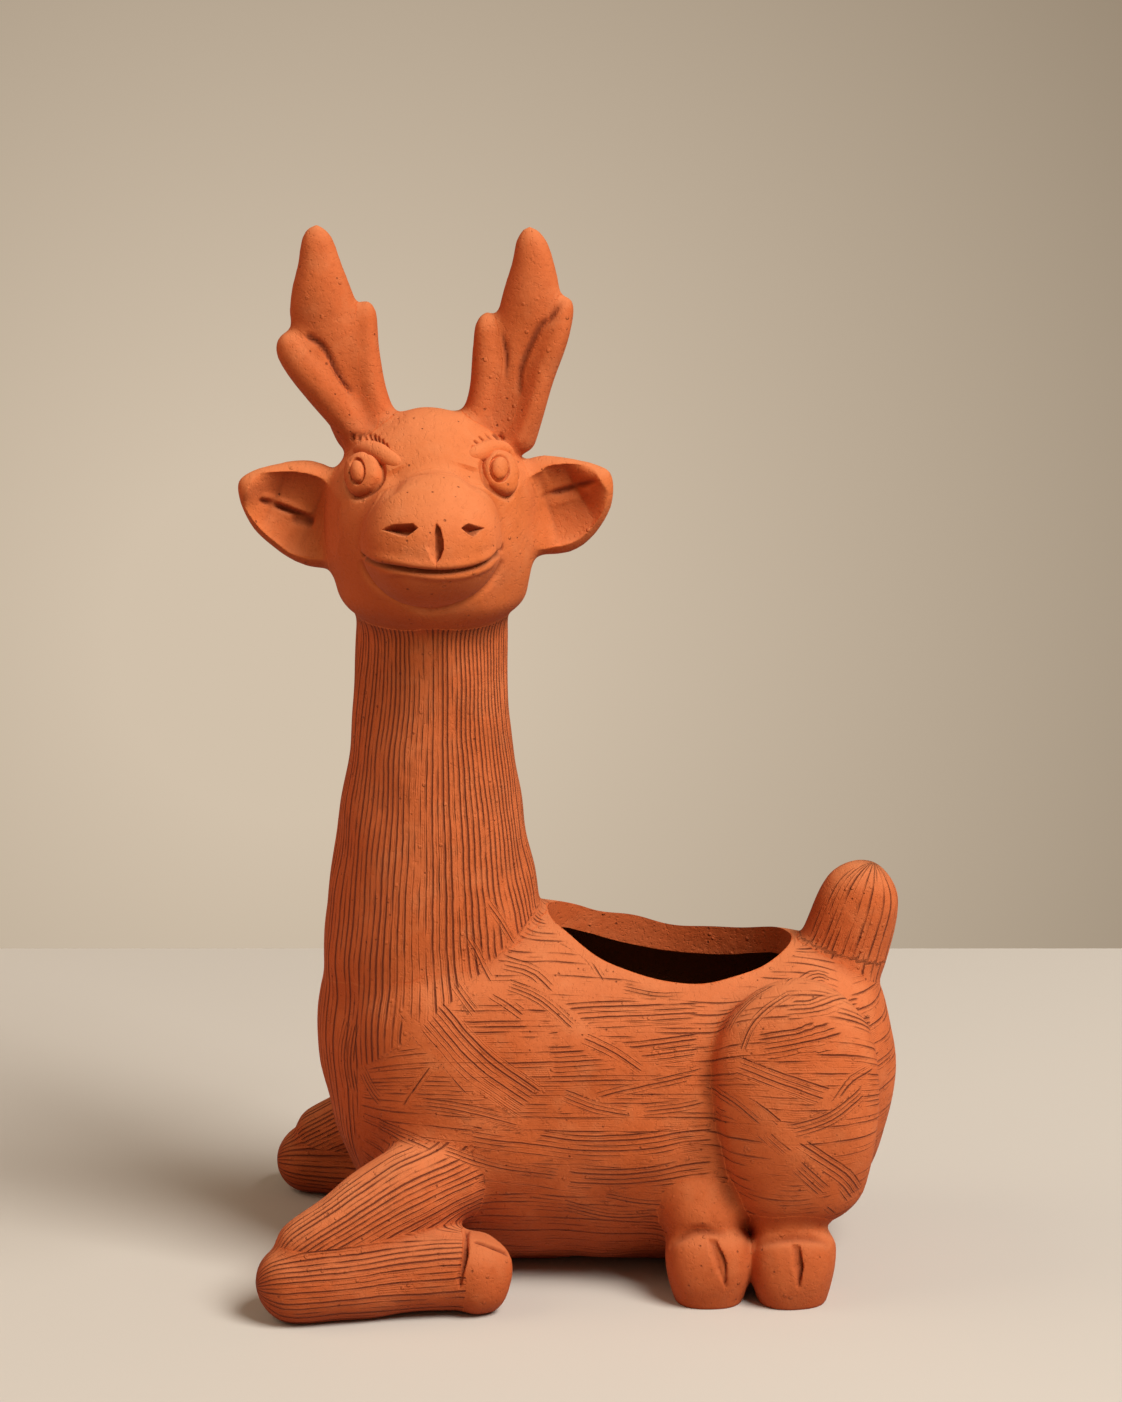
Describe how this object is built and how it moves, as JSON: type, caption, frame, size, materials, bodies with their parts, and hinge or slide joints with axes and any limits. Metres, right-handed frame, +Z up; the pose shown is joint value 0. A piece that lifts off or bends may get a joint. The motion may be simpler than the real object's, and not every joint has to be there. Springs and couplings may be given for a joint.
{
  "type": "animal-shaped garden planter",
  "caption": "Hand-built terracotta planter shaped as a lying deer with upright neck and antlers, hollow, open at the back for soil and plants.",
  "frame": {"origin": "on the ground under the middle of the overall box", "axes": "+Z up, +X towards the rump, -Y the way the face looks"},
  "size_m": [0.2896, 0.1968, 0.4595],
  "materials": {
    "combed_terracotta": "unglazed fired earthenware, matte, combed with fine grooves",
    "smoothed_terracotta": "unglazed fired earthenware, matte, wiped smooth by hand"
  },
  "bodies": {
    "root": {"body_pot": "combed_terracotta", "neck": "combed_terracotta", "head": "smoothed_terracotta", "muzzle": "smoothed_terracotta", "left_ear": "smoothed_terracotta", "left_antler_beam": "smoothed_terracotta", "left_antler_outer_tine": "smoothed_terracotta", "left_antler_inner_tine": "smoothed_terracotta", "left_eye_pad": "smoothed_terracotta", "left_pupil": "smoothed_terracotta", "left_brow": "smoothed_terracotta", "right_ear": "smoothed_terracotta", "right_antler_beam": "smoothed_terracotta", "right_antler_outer_tine": "smoothed_terracotta", "right_antler_inner_tine": "smoothed_terracotta", "right_eye_pad": "smoothed_terracotta", "right_pupil": "smoothed_terracotta", "right_brow": "smoothed_terracotta", "tail": "combed_terracotta", "left_thigh": "combed_terracotta", "left_front_hoof": "smoothed_terracotta", "left_front_lower_leg": "combed_terracotta", "left_front_upper_leg": "combed_terracotta", "right_thigh": "combed_terracotta", "right_front_hoof": "smoothed_terracotta", "right_front_lower_leg": "combed_terracotta", "right_front_upper_leg": "combed_terracotta", "left_hind_hoof": "smoothed_terracotta", "right_hind_hoof": "smoothed_terracotta", "left_hind_shank": "combed_terracotta", "right_hind_shank": "combed_terracotta"}
  },
  "joints": []
}
